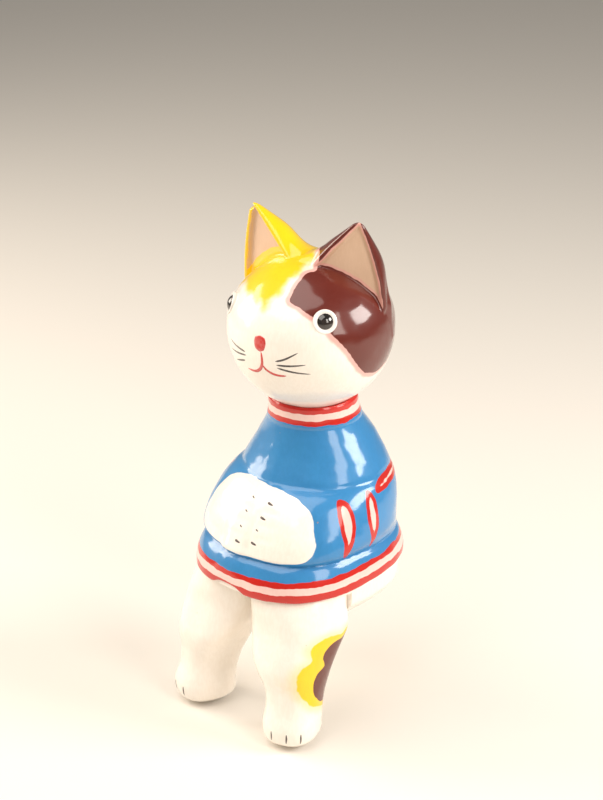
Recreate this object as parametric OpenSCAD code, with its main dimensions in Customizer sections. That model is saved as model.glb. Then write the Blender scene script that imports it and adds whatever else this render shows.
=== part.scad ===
// Carved wooden cat that sits on the edge of a shelf with its legs hanging down.
// The seat face is the plane z = 0 and the cat looks along -Y, so +X is its left side.

/* [Head] */
// Diameter of the ball of the head
head_d = 74; // [64:0.5:84]
// How much lower the crown is than the top of a full ball
crown_drop = 3.8; // [1:0.2:5]
// How far the head is turned to its left, in degrees
head_turn = 7; // [0:0.5:15]
// Height of the ear tips above the middle of the head
ear_h = 51.5; // [46:0.5:58]
// Distance between the two ear tips
ear_span = 55; // [48:1:62]
// Radius of the rounding on the tips and edges of the ears
ear_round = 1.6; // [1:0.1:2.5]
// Depth of the hollow in the front of each ear
ear_hollow = 1.5; // [0.5:0.1:2.5]

/* [Eyes] */
// Diameter of the white of an eye
eye_d = 10.5; // [8:0.25:13]
// Diameter of a pupil
pupil_d = 6.75; // [5:0.25:8]
// How far the white of an eye stands out of the face
eye_proud = 0.5; // [0.3:0.1:1]
// How far the middle of a pupil stands out of the white
pupil_proud = 1.4; // [0.8:0.1:2.5]
// Angle between each eye and the middle of the face
eye_angle = 48; // [42:1:52]
// Height of the eyes above the middle of the head
eye_z = 15.5; // [12:0.5:19]

/* [Torso] */
// Height of the top of the collar above the seat
torso_h = 91; // [80:1:106]
// How far the collar and the head lean forward, in degrees
neck_lean = 6; // [0:1:10]
// Thickness of the collar's rim around the foot of the head
collar_wall = 2; // [1.4:0.1:3]
// Height of the collar
collar_h = 9; // [6:0.5:12]
// Width of the sweater at the shoulders
shoulder_w = 54; // [47:1:60]
// Width of the sweater at the elbows
elbow_w = 76; // [66:1:86]
// Width of the sweater at the hem
hem_w = 86; // [76:1:98]
// How far the hem reaches in front of the neck's axis
hem_front = 56; // [50:1:62]
// How far the hem reaches behind the neck's axis
hem_back = 35; // [31:1:40]
// How far the hem stands out from the hips
hem_lip = 1.5; // [1:0.25:3]
// Height of the flared, striped band along the hem
hem_band = 9; // [6:0.5:12]
// Height of the hem's lower edge at the front
hem_low = 12; // [9:0.5:15]
// Height of the hem's lower edge at the back
hem_high = 17; // [15:0.5:22]
// How far the forearms bulge from the sweater
arm_bulge = 3; // [1:0.25:6]

/* [Paws] */
// Width of the two front paws, held together
paws_w = 68; // [56:1:78]
// Height of the front paws
paws_h = 34; // [28:1:40]
// Height of the middle of the front paws above the seat
paws_z = 45; // [41:1:49]
// How far the front paws bulge from the sweater
paws_bulge = 7; // [4:0.5:10]

/* [Legs] */
// Length of the legs below the seat
leg_l = 55; // [48:1:64]
// Distance from the neck's axis forward to the back of the legs
notch_front = 21; // [18:0.5:24]
// Width of a thigh at the top
thigh_w = 41; // [37:0.5:42]
// Width of a leg above the foot
ankle_w = 24; // [21:0.5:28]
// Depth of a leg from front to back above the foot
ankle_depth = 23; // [20:0.5:27]
// Length of a foot
foot_l = 28; // [25:0.5:33]
// How far each foot stands out to the side of the thigh's middle
leg_spread = 7; // [3:0.5:9]
// How far each foot stands forward of the thigh's middle
leg_swing = 6; // [3:0.5:9]
// How far each foot turns out, in degrees
foot_splay = 20; // [0:1:30]
// Gap between the two thighs, and between the legs and the edge of the shelf
thigh_gap = 0.5; // [0.3:0.1:1.5]

/* [Dowels] */
// Diameter of the dowels
dowel_d = 10; // [8:0.5:11]
// Length of the dowel in the neck
neck_dowel_l = 36; // [30:1:42]
// Length of the dowel in each thigh
leg_dowel_l = 34; // [28:1:38]
// Gap for glue around a dowel and at its ends
glue_gap = 0.05; // [0.02:0.01:0.2]

/* [Hidden] */

LEFT = 1;
RIGHT = -1;
head_r = head_d / 2;
crown_r = head_r * 1.22;
bore_d = dowel_d + 2 * glue_gap;

// The foot of the head is a flat on the ball, let into the top of the collar.
foot_r = head_r * 0.39;
foot_drop = sqrt(pow(head_r, 2) - pow(foot_r, 2));
recess_depth = 1.5;
recess_r = sqrt(pow(head_r, 2) - pow(foot_drop - recess_depth, 2)) + 2 * glue_gap;
collar_r = recess_r + collar_wall;
head_lift = foot_drop - recess_depth;

// The legs are glued under the front of the sweater, level with the hem's lower edge.
joint_z = hem_low;
leg_dowel_x = thigh_w / 2 - 1;
leg_dowel_y = -(notch_front + hem_front) / 2;

// Points around a ring of the torso and of a leg, and rows from one key ring to the next.
TORSO_SIDES = 80;
LEG_SIDES = 48;
TORSO_ROWS = 4;
LEG_ROWS = 4;

function sum(list, i = 0) = i < len(list) - 1 ? list[i] + sum(list, i + 1) : list[i];

// Radius of a superellipse with half-sizes rx and ry, at angle a from the front.
function bow(a, rx, ry, squareness) =
    pow(pow(abs(sin(a)) / rx, squareness) + pow(abs(cos(a)) / ry, squareness), -1 / squareness);

// A rounded hump, 1 in the middle and 0 once u, v leave the unit circle.
function hump(u, v) = max(0, 1 - u * u - v * v);

// A soft hump with no edge.
function swell(u) = exp(-u * u);

// Catmull-Rom curve from b to c, with a before them and d after them.
function curve(a, b, c, d, t) =
    0.5 * (2 * b + (c - a) * t + (2 * a - 5 * b + 4 * c - d) * t * t + (3 * b - a - 3 * c + d) * t * t * t);

// Every row of keys, with steps rows from one key to the next.
function fill_rows(keys, steps) = [
    for (k = [0 : len(keys) - 2], s = [0 : steps - 1])
        curve(keys[max(k - 1, 0)], keys[k], keys[k + 1], keys[min(k + 2, len(keys) - 1)], s / steps),
    keys[len(keys) - 1]
];

// A closed solid through rings of points, listed from the bottom up, anticlockwise from above.
module skin(rings) {
    n = len(rings[0]);
    m = len(rings);
    bottom = sum(rings[0]) / n;
    top = sum(rings[m - 1]) / n;
    points = concat([for (ring = rings) each ring], [bottom, top]);
    faces = [
        for (i = [0 : n - 1])
            let (j = (i + 1) % n)
            each concat(
                [[i, j, m * n], [(m - 1) * n + j, (m - 1) * n + i, m * n + 1]],
                [for (r = [0 : m - 2]) [r * n + i, (r + 1) * n + i, r * n + j]],
                [for (r = [0 : m - 2]) [(r + 1) * n + i, (r + 1) * n + j, r * n + j]]
            )
    ];
    polyhedron(points, faces);
}

// Key rings of the sweater: share of the height, half-width, half-depth, middle y, squareness.
// The flared hem takes band_share of the height, and its rim turns in just above it.
hem_mid = (hem_back - hem_front) / 2;
hem_depth = (hem_back + hem_front) / 2;
band_share = hem_band / (torso_h - hem_low);
sweater_keys = [
    [0.00, hem_w / 2, hem_depth, hem_mid, 2.5],
    [band_share * 0.8, hem_w / 2 - 0.5, hem_depth - 0.5, hem_mid, 2.5],
    [band_share * 1.15, hem_w / 2 - 2.5, hem_depth - 2.5, hem_mid, 2.5],
    [0.28, (hem_w + elbow_w) / 4, hem_depth - 6, hem_mid * 0.7, 2.4],
    [0.50, elbow_w / 2 - 3, elbow_w / 2 - 4.5, hem_mid * 0.1, 2.3],
    [0.72, shoulder_w / 2, shoulder_w / 2 - 0.5, 0.5, 2.1],
    [1 - collar_h / (torso_h - hem_low), collar_r + 1.5, collar_r + 1.5, 0, 2],
    [1.00, collar_r, collar_r, 0, 2]
];

// The hem's lower edge rises from hem_low at the front to hem_high at the back.
function hem_edge(a) = hem_low + (hem_high - hem_low) * (1 - cos(a)) / 2;

// Push from the paws and the forearms at angle a from the front and height z.
function arms(a, z) =
    let (side = abs(a), paw = paws_w / 2)
    paws_bulge * hump(40 * side / 57.3 / (paw + 2), (z - paws_z) / (paws_h / 2 + 1))
    + arm_bulge * hump(0, (z - paws_z + 2) / (paws_h / 2 - 2)) * swell((side - 75) / 45)
    + arm_bulge * 0.4 * hump(0, (z - paws_z - 14) / 20) * swell((side - 105) / 22);

function sweater_point(key, a) =
    let (
        low = hem_edge(a),
        z = low + key[0] * (torso_h - low),
        r = bow(a, key[1], key[2], key[4]) + arms(a > 180 ? a - 360 : a, z),
        y = key[3] - r * cos(a)
    )
    [r * sin(a), y, z + y * tan(neck_lean) * pow(key[0], 3)];

module sweater() {
    step = 360 / TORSO_SIDES;
    skin([
        for (key = fill_rows(sweater_keys, TORSO_ROWS))
            [for (i = [0 : TORSO_SIDES - 1]) sweater_point(key, i * step)]
    ]);
}

// Key rings of the hips: height, inset from the hem.
hip_keys = [
    [-4, hem_lip + 9],
    [0, hem_lip + 5],
    [4, hem_lip + 1.5],
    [9, hem_lip],
    [hem_high + 4, hem_lip]
];

function hip_point(key, a) =
    let (r = bow(a, hem_w / 2 - key[1], hem_depth - key[1], 2.5))
    [r * sin(a), hem_mid - r * cos(a), key[0]];

module hips() {
    step = 360 / TORSO_SIDES;
    skin([
        for (key = fill_rows(hip_keys, 3))
            [for (i = [0 : TORSO_SIDES - 1]) hip_point(key, i * step)]
    ]);
}

// Places something at the top of the collar, along the lean of the neck.
module at_neck() {
    translate([0, 0, torso_h])
        rotate([neck_lean, 0, 0])
            children();
}

module torso() {
    color("#3a8fc8")
    difference() {
        union() {
            sweater();
            hips();
        }
        // the seat
        translate([-100, -100, -30])
            cube([200, 200, 30]);
        // room for the legs, under the hem and in front of the shelf
        translate([-100, -100, -30])
            cube([200, 100 - notch_front, 30 + joint_z]);
        // recess for the foot of the head
        at_neck()
            translate([0, 0, -recess_depth])
                cylinder(h = 20, r = recess_r, $fn = 96);
        at_neck()
            translate([0, 0, -recess_depth - neck_dowel_l / 2 - glue_gap])
                cylinder(h = neck_dowel_l, d = bore_d, $fn = 48);
        for (side = [LEFT, RIGHT])
            translate([side * leg_dowel_x, leg_dowel_y, joint_z - 1])
                cylinder(h = leg_dowel_l / 2 + glue_gap + 1, d = bore_d, $fn = 48);
    }
}

// Places something on the face of the head, on the side and height of an eye, looking along +Z.
module at_eye(side) {
    lift = asin(eye_z / head_r);
    at_neck()
        translate([0, 0, head_lift])
            rotate([0, 0, head_turn + side * eye_angle])
                rotate([90 - lift, 0, 0])
                    children();
}

// Corners of an ear on the cat's left, from the middle of the head.
ear_tip = [ear_span / 2, 3, ear_h];
ear_inner = head_r * [0.26, -0.18, 0.86];
ear_outer = head_r * [0.96, 0.10, 0.28];
ear_rear_in = head_r * [0.34, 0.38, 0.78];
ear_rear_out = head_r * [0.82, 0.40, 0.42];

// A point on the front of the ear, drawn in towards its middle and moved ahead by lead.
function ear_front(corner, shrink, lead) =
    let (
        middle = (ear_tip + ear_inner + ear_outer) / 3,
        across = cross(ear_outer - ear_tip, ear_inner - ear_tip),
        ahead = across / norm(across)
    )
    corner + (middle - corner) * shrink + ahead * lead;

module ear_bead(point) {
    translate(point)
        sphere(r = ear_round, $fn = 20);
}

module ear() {
    difference() {
        hull() {
            ear_bead(ear_tip);
            ear_bead(ear_inner);
            ear_bead(ear_outer);
            ear_bead(ear_rear_in);
            ear_bead(ear_rear_out);
            ear_bead(0.45 * ear_tip + 0.55 * ear_rear_out + [2, 3, 2]);
        }
        hull() {
            for (corner = [ear_tip, ear_inner, ear_outer]) {
                translate(ear_front(corner, 0.34, ear_round - ear_hollow + 0.6))
                    sphere(r = 0.6, $fn = 12);
                translate(ear_front(corner, 0.12, ear_round + 2.5))
                    sphere(r = 0.6, $fn = 12);
            }
        }
    }
}

// The ball of the head, with the crown carved to a flatter ball.
module ball() {
    intersection() {
        sphere(r = head_r, $fn = 96);
        translate([0, 0, head_r - crown_drop - crown_r])
            sphere(r = crown_r, $fn = 96);
    }
}

module head() {
    color("#f4efe2")
    difference() {
        at_neck()
            translate([0, 0, head_lift]) {
                ball();
                rotate([0, 0, head_turn]) {
                    ear();
                    mirror([1, 0, 0])
                        ear();
                }
            }
        // the foot of the head
        at_neck()
            translate([-50, -50, -recess_depth - 30])
                cube([100, 100, 30]);
        at_neck()
            translate([0, 0, -recess_depth - 1])
                cylinder(h = neck_dowel_l / 2 + glue_gap + 1, d = bore_d, $fn = 48);
        for (side = [LEFT, RIGHT])
            at_eye(side)
                translate([0, 0, head_r - 3])
                    cylinder(h = 10, d = eye_d, $fn = 48);
    }
}

module eye_white(side) {
    color("#ffffff")
    at_eye(side)
        translate([0, 0, head_r - 3])
            difference() {
                cylinder(h = 3 + eye_proud, d = eye_d, $fn = 48);
                translate([0, 0, 1.5])
                    cylinder(h = 5, d = pupil_d, $fn = 48);
            }
}

module pupil(side) {
    dome_r = (pow(pupil_d / 2, 2) + pow(pupil_proud, 2)) / (2 * pupil_proud);
    color("#111111")
    at_eye(side)
        translate([0, 0, head_r - 1.5])
            union() {
                cylinder(h = 1.5 + eye_proud, d = pupil_d, $fn = 48);
                translate([0, 0, 1.5 + eye_proud])
                    intersection() {
                        translate([0, 0, pupil_proud - dome_r])
                            sphere(r = dome_r, $fn = 96);
                        cylinder(h = pupil_proud + 1, d = pupil_d + 1, $fn = 48);
                    }
            }
}

// Key rings of a leg on the cat's left, from the sole up: share of the height, middle x and y,
// half-width, half-depth, squareness, turn.
thigh_x = thigh_w / 2;
thigh_depth = hem_front - hem_lip - notch_front + 6;
thigh_y = thigh_depth / 2 + hem_lip - hem_front + 1.5;
foot_x = thigh_x + leg_spread;
foot_y = -notch_front - thigh_depth / 3 - leg_swing - 5;
leg_keys = [
    [0.000, foot_x, foot_y, ankle_w / 2 - 2.5, foot_l / 2 - 3, 2.4, foot_splay],
    [0.040, foot_x, foot_y, ankle_w / 2, foot_l / 2 - 0.5, 2.4, foot_splay],
    [0.130, foot_x, foot_y, ankle_w / 2 + 0.6, foot_l / 2, 2.3, foot_splay],
    [0.240, foot_x - 0.5, foot_y + 2, ankle_w / 2, ankle_depth / 2 + 1, 2.2, foot_splay],
    [0.360, foot_x - 1, foot_y + 3, ankle_w / 2 + 0.5, ankle_depth / 2 + 1, 2.1, foot_splay],
    [0.550, thigh_x + leg_spread * 0.5, foot_y + 4, ankle_w / 2 + 4, ankle_depth / 2 + 5, 2.1, 0],
    [0.750, thigh_x + leg_spread * 0.2, thigh_y, thigh_w / 2 - 1, thigh_depth / 2 - 0.5, 2.3, 0],
    [0.900, thigh_x, thigh_y, thigh_w / 2, thigh_depth / 2, 2.5, 0],
    [1.000, thigh_x, thigh_y, thigh_w / 2, thigh_depth / 2, 2.5, 0]
];

// Draws a point of the leg in, so that the top of the leg stays inside the outline of the hips.
function tuck(x, y, share) =
    let (
        spare = 30 * (1 - share) - hem_lip,
        across = abs(x) / (hem_w / 2 + spare),
        along = abs(y - hem_mid) / (hem_depth + spare),
        over = pow(pow(across, 2.5) + pow(along, 2.5), 1 / 2.5),
        shrink = 1 / max(1, over)
    )
    [max(0.01, x * shrink), hem_mid + (y - hem_mid) * shrink];

function leg_point(key, a) =
    let (
        r = bow(a, key[3], key[4], key[5]),
        turn = a + key[6],
        p = tuck(key[1] + r * sin(turn), key[2] - r * cos(turn), key[0])
    )
    [thigh_gap / 2 + p[0], p[1], -leg_l + key[0] * (leg_l + joint_z)];

module leg_body() {
    step = 360 / LEG_SIDES;
    difference() {
        skin([
            for (key = fill_rows(leg_keys, LEG_ROWS))
                [for (i = [0 : LEG_SIDES - 1]) leg_point(key, i * step)]
        ]);
        // the flat at the back that lies against the shelf
        translate([-100, -notch_front - thigh_gap, -100])
            cube([200, 100, 200]);
        translate([leg_dowel_x, leg_dowel_y, joint_z - leg_dowel_l / 2 - glue_gap])
            cylinder(h = leg_dowel_l, d = bore_d, $fn = 48);
    }
}

module leg_dowel(side) {
    color("#d9b98a")
    translate([side * leg_dowel_x, leg_dowel_y, joint_z - leg_dowel_l / 2])
        cylinder(h = leg_dowel_l, d = dowel_d, $fn = 48);
}

module left_leg() {
    color("#f4efe2")
    leg_body();
}

module right_leg() {
    color("#f4efe2")
    mirror([1, 0, 0])
        leg_body();
}

module neck_dowel() {
    color("#d9b98a")
    at_neck()
        translate([0, 0, -recess_depth - neck_dowel_l / 2])
            cylinder(h = neck_dowel_l, d = dowel_d, $fn = 48);
}

module left_leg_dowel() {
    leg_dowel(LEFT);
}

module right_leg_dowel() {
    leg_dowel(RIGHT);
}

module left_eye_white() {
    eye_white(LEFT);
}

module left_pupil() {
    pupil(LEFT);
}

module right_eye_white() {
    eye_white(RIGHT);
}

module right_pupil() {
    pupil(RIGHT);
}

head();
torso();
left_leg();
right_leg();
neck_dowel();
left_leg_dowel();
right_leg_dowel();
left_eye_white();
left_pupil();
right_eye_white();
right_pupil();
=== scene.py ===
"""Carved and painted wooden cat in a sweater, sitting on a shelf's edge with its legs hanging."""

import logging
import math
from dataclasses import dataclass, field
from enum import Enum
from typing import Callable, Optional, Sequence, Union

import bpy
import numpy as np
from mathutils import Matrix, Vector


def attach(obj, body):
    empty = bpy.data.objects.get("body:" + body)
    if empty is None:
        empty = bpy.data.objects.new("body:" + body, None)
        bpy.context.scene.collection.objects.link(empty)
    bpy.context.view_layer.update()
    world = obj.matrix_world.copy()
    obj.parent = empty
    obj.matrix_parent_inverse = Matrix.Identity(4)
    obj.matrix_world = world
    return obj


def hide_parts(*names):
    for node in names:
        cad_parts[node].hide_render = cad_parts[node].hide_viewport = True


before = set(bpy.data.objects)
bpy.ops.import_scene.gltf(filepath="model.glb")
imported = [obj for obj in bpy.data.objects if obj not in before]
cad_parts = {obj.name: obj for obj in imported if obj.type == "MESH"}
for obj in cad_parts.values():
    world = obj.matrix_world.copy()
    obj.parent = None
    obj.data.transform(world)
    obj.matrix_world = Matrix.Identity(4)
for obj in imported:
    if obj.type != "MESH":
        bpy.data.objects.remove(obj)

LOG = logging.getLogger("cat")
MM = 0.001
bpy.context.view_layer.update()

Points = np.ndarray
Pair = tuple[float, float]
Triple = tuple[float, float, float]
Piece = bpy.types.Object
Material = bpy.types.Material
Tree = bpy.types.NodeTree
Socket = bpy.types.NodeSocket
Share = Union[Socket, float]
Colour = Union[Socket, Sequence[float]]


class Side(Enum):
    """Which side of the cat a piece is on; the value is the sign of its X."""

    LEFT = 1
    RIGHT = -1


# ---------------------------------------------------------------- shapes in numbers


def bow(a: Points, rx: Points, ry: Points, squareness: Points) -> Points:
    """Radius of a superellipse at an angle from the front.

    Args:
        a: Angle from the front, in radians.
        rx: Half-width.
        ry: Half-depth.
        squareness: Exponent; 2 is an ellipse.

    Returns:
        The radius at each angle.
    """
    across = np.abs(np.sin(a)) / rx
    along = np.abs(np.cos(a)) / ry
    return (across**squareness + along**squareness) ** (-1.0 / squareness)


def curve(a: Points, b: Points, c: Points, d: Points, steps: int) -> list:
    """Points of a Catmull-Rom curve from b up to c, with a before them and d after them."""
    bend, twist = 2 * a - 5 * b + 4 * c - d, 3 * b - a - 3 * c + d
    return [0.5 * (2 * b + (c - a) * t + bend * t**2 + twist * t**3) for t in np.arange(steps) / steps]


def fill_rows(keys: Sequence[Sequence[float]], steps: int) -> Points:
    """Runs a Catmull-Rom curve through key rows.

    Args:
        keys: The key rows.
        steps: Rows from one key to the next.

    Returns:
        All the rows, keys included.
    """
    k = np.array(keys, float)
    last = len(k) - 1
    rows = []
    for i in range(last):
        rows += curve(k[max(i - 1, 0)], k[i], k[i + 1], k[min(i + 2, last)], steps)
    return np.array(rows + [k[last]])


def smooth_step(x: Points, low: float, high: float) -> Points:
    """A soft step from 0 at low to 1 at high."""
    t = np.clip((x - low) / (high - low), 0.0, 1.0)
    return t * t * (3 - 2 * t)


def soft_max(a: Points, b: Points, k: float) -> Points:
    """The larger of two fields, with the edge where they meet rounded over k."""
    h = np.clip(0.5 + 0.5 * (a - b) / k, 0.0, 1.0)
    return b + (a - b) * h + k * h * (1 - h)


def ripple(p: Points, size: float, seed: float) -> Points:
    """A smooth unevenness from crossed waves, like the facets that a carver's knife leaves.

    Args:
        p: Points, in mm.
        size: Typical width of a facet, in mm.
        seed: Shifts the pattern.

    Returns:
        Values of about -1 to 1.
    """
    q = p * (2 * math.pi / size)
    total = np.zeros(len(p))
    turns = ((0.9, 0.3, 0.4), (-0.4, 0.8, 0.5), (0.5, -0.6, 0.8), (0.7, 0.6, -0.5), (-0.2, 0.5, 1.1))
    for i, turn in enumerate(turns):
        wave = q @ np.array(turn) * (0.7 + 0.17 * i) + seed * (1.3 + i)
        total += np.sin(wave + 0.8 * np.sin(q @ np.array(turn[::-1]) * 0.6 + seed))
    return total / len(turns)


def outline_distance(p: Points, corners: Sequence[Pair], rounding: int = 8) -> Points:
    """Signed distance to a closed outline drawn smoothly through its corners.

    Args:
        p: Points on the flat, one row each.
        corners: The outline's corners.
        rounding: Steps from one corner to the next.

    Returns:
        The distance, below 0 inside.
    """
    k = np.array(corners, float)
    n = len(k)
    line = []
    for i in range(n):
        line += curve(k[i - 1], k[i], k[(i + 1) % n], k[(i + 2) % n], rounding)
    line = np.array(line)
    best = np.full(len(p), 1e9)
    inside = np.zeros(len(p), bool)
    for s, e in zip(line, np.roll(line, -1, axis=0)):
        w = e - s
        v = p - s
        t = np.clip(v @ w / max(w @ w, 1e-12), 0, 1)
        best = np.minimum(best, np.sum((v - t[:, None] * w) ** 2, axis=1))
        crosses = (s[1] > p[:, 1]) != (e[1] > p[:, 1])
        rise = w[1] if abs(w[1]) > 1e-12 else 1e-12
        inside ^= crosses & (p[:, 0] < s[0] + (p[:, 1] - s[1]) * w[0] / rise)
    return np.where(inside, -np.sqrt(best), np.sqrt(best))


def knife_marks(p: Points, *cuts: Triple) -> Points:
    """How far the knife's facets stand out, from the depth, width and seed of each kind of cut."""
    return sum(depth * ripple(p, size, seed) for depth, size, seed in cuts)


def compass(ahead: np.ndarray) -> tuple[np.ndarray, np.ndarray]:
    """The directions across and up a surface that faces ahead.

    Args:
        ahead: The way the surface faces, one unit long.

    Returns:
        East and north, one unit long.
    """
    east = np.cross(np.array([0, 0, 1.0]), ahead)
    east = east / np.linalg.norm(east)
    return east, np.cross(ahead, east)


# ---------------------------------------------------------------- making pieces


def new_piece(name: str, make: Callable[..., object], **sizes: object) -> Piece:
    """Adds a primitive with nothing else selected and names it.

    Args:
        name: The piece's name.
        make: The operator that adds the primitive.
        **sizes: The operator's sizes.

    Returns:
        The new object.
    """
    bpy.ops.object.select_all(action="DESELECT")
    make(**sizes)
    piece = bpy.context.view_layer.objects.active
    piece.name = name
    piece.data.name = name
    return piece


def points_of(piece: Piece) -> Points:
    """All the vertices of a piece, in mm.

    Args:
        piece: The piece.

    Returns:
        One row for each vertex.
    """
    flat = np.empty(len(piece.data.vertices) * 3)
    piece.data.vertices.foreach_get("co", flat)
    return flat.reshape(-1, 3) / MM


def move_points(piece: Piece, p: Points) -> None:
    """Puts every vertex of a piece at its place, in mm."""
    piece.data.vertices.foreach_set("co", (p * MM).ravel())
    piece.data.update()


def take(piece: Piece) -> None:
    """Selects one piece and nothing else.

    Args:
        piece: The piece.
    """
    bpy.ops.object.select_all(action="DESELECT")
    bpy.context.view_layer.objects.active = piece
    piece.select_set(True)


def close_up(piece: Piece, gap: float = 0.004) -> None:
    """Merges the seam and poles of a piece and points its faces outwards.

    Args:
        piece: The piece.
        gap: Distance below which points merge, in mm.
    """
    take(piece)
    bpy.ops.object.mode_set(mode="EDIT")
    bpy.ops.mesh.select_all(action="SELECT")
    bpy.ops.mesh.remove_doubles(threshold=gap * MM)
    bpy.ops.mesh.normals_make_consistent(inside=False)
    bpy.ops.object.mode_set(mode="OBJECT")
    bpy.ops.object.shade_smooth()


def settle(piece: Piece) -> None:
    """Moves a piece's place into its mesh and leaves its object at the origin."""
    take(piece)
    bpy.ops.object.transform_apply(location=True, rotation=True, scale=True)


def apply_modifiers(piece: Piece) -> None:
    """Applies every modifier of a piece, in order.

    Args:
        piece: The piece.
    """
    take(piece)
    for modifier in list(piece.modifiers):
        bpy.ops.object.modifier_apply(modifier=modifier.name)


def mark(piece: Piece, name: str, values: Points) -> None:
    """Stores one number for each vertex, such as a distance in mm to a painted edge."""
    layer = piece.data.attributes.new(name, "FLOAT", "POINT")
    layer.data.foreach_set("value", values.astype(np.float32))


def wrap(name: str, around: int, rows: int, place: Callable[[Points, Points], Points]) -> Piece:
    """Wraps a grid round a solid: one way of the grid goes round, the other goes up.

    Args:
        name: The piece's name.
        around: Faces round the solid.
        rows: Faces from the bottom to the top.
        place: Gives a point in mm for the angle in radians and the row of each vertex.

    Returns:
        The closed piece.
    """
    piece = new_piece(name, bpy.ops.mesh.primitive_grid_add,
                      x_subdivisions=around, y_subdivisions=rows, size=2)
    p = points_of(piece) * MM
    angle = (p[:, 0] + 1) / 2 * 2 * math.pi + math.pi
    row = np.rint((p[:, 1] + 1) / 2 * rows).astype(int)
    move_points(piece, place(angle, row))
    return piece


# ---------------------------------------------------------------- paints and finishes


def paint(hexa: str) -> tuple[float, float, float, float]:
    """Turns an sRGB hex colour to the linear one that shaders use.

    Args:
        hexa: Six hex digits.

    Returns:
        Linear red, green, blue and alpha.
    """
    parts = [int(hexa[i:i + 2], 16) / 255 for i in (0, 2, 4)]
    linear = [c / 12.92 if c <= 0.04045 else ((c + 0.055) / 1.055) ** 2.4 for c in parts]
    return (linear[0], linear[1], linear[2], 1.0)


def add(tree: Tree, kind: str, inputs: Optional[dict] = None, out: int = 0, **settings: object) -> Socket:
    """Adds a node with its settings, values and links.

    Args:
        tree: The node tree.
        kind: The node's type without "ShaderNode".
        inputs: Value or linked socket for each input, by name or number.
        out: Number of the output that is wanted.
        **settings: The node's own settings.

    Returns:
        The output, or None for a node without outputs.
    """
    node = tree.nodes.new("ShaderNode" + kind)
    for key, value in settings.items():
        setattr(node, key, value)
    for key, value in (inputs or {}).items():
        if isinstance(value, Socket):
            tree.links.new(value, node.inputs[key])
        else:
            node.inputs[key].default_value = value
    return node.outputs[out] if node.outputs else None


def cover(tree: Tree, edge: Socket, bare: float, full: float, under: Colour, over: Colour,
          most: Share = 1.0, mode: str = "MIX") -> Socket:
    """Lays one paint over another, along a soft edge.

    Args:
        tree: The node tree.
        edge: The value that the edge is drawn by.
        bare: The value at which the upper paint starts; it may be above full.
        full: The value from which the upper paint is at its most.
        under: The lower paint.
        over: The upper paint.
        most: How much of the upper paint shows there, from 0 to 1.
        mode: Blend type.

    Returns:
        The mixed colour.
    """
    low, high = sorted((bare, full))
    first, last = (0.0, most) if bare < full else (most, 0.0)
    share = add(tree, "MapRange", {0: edge, 1: low, 2: high, 3: first, 4: last},
                interpolation_type="SMOOTHSTEP")
    return add(tree, "Mix", {0: share, 6: under, 7: over}, 2, data_type="RGBA", blend_type=mode)


def hand_drawn(tree: Tree, place: Socket, name: str, waver_mm: float, stray_mm: float) -> Socket:
    """A distance in mm stored on the piece, with the unevenness of a hand added.

    Args:
        tree: The node tree.
        place: Object coordinates.
        name: The stored distance.
        waver_mm: Length of one waver.
        stray_mm: How far the hand strays.

    Returns:
        The uneven distance.
    """
    noise = add(tree, "TexNoise", {"Vector": place, "Scale": 1 / (waver_mm * MM), "Detail": 2.0})
    stray = add(tree, "MapRange", {0: noise, 1: 0.25, 2: 0.75, 3: -stray_mm, 4: stray_mm})
    stored = add(tree, "Attribute", None, 2, attribute_name=name)
    return add(tree, "Math", {0: stored, 1: stray}, operation="ADD")


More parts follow.
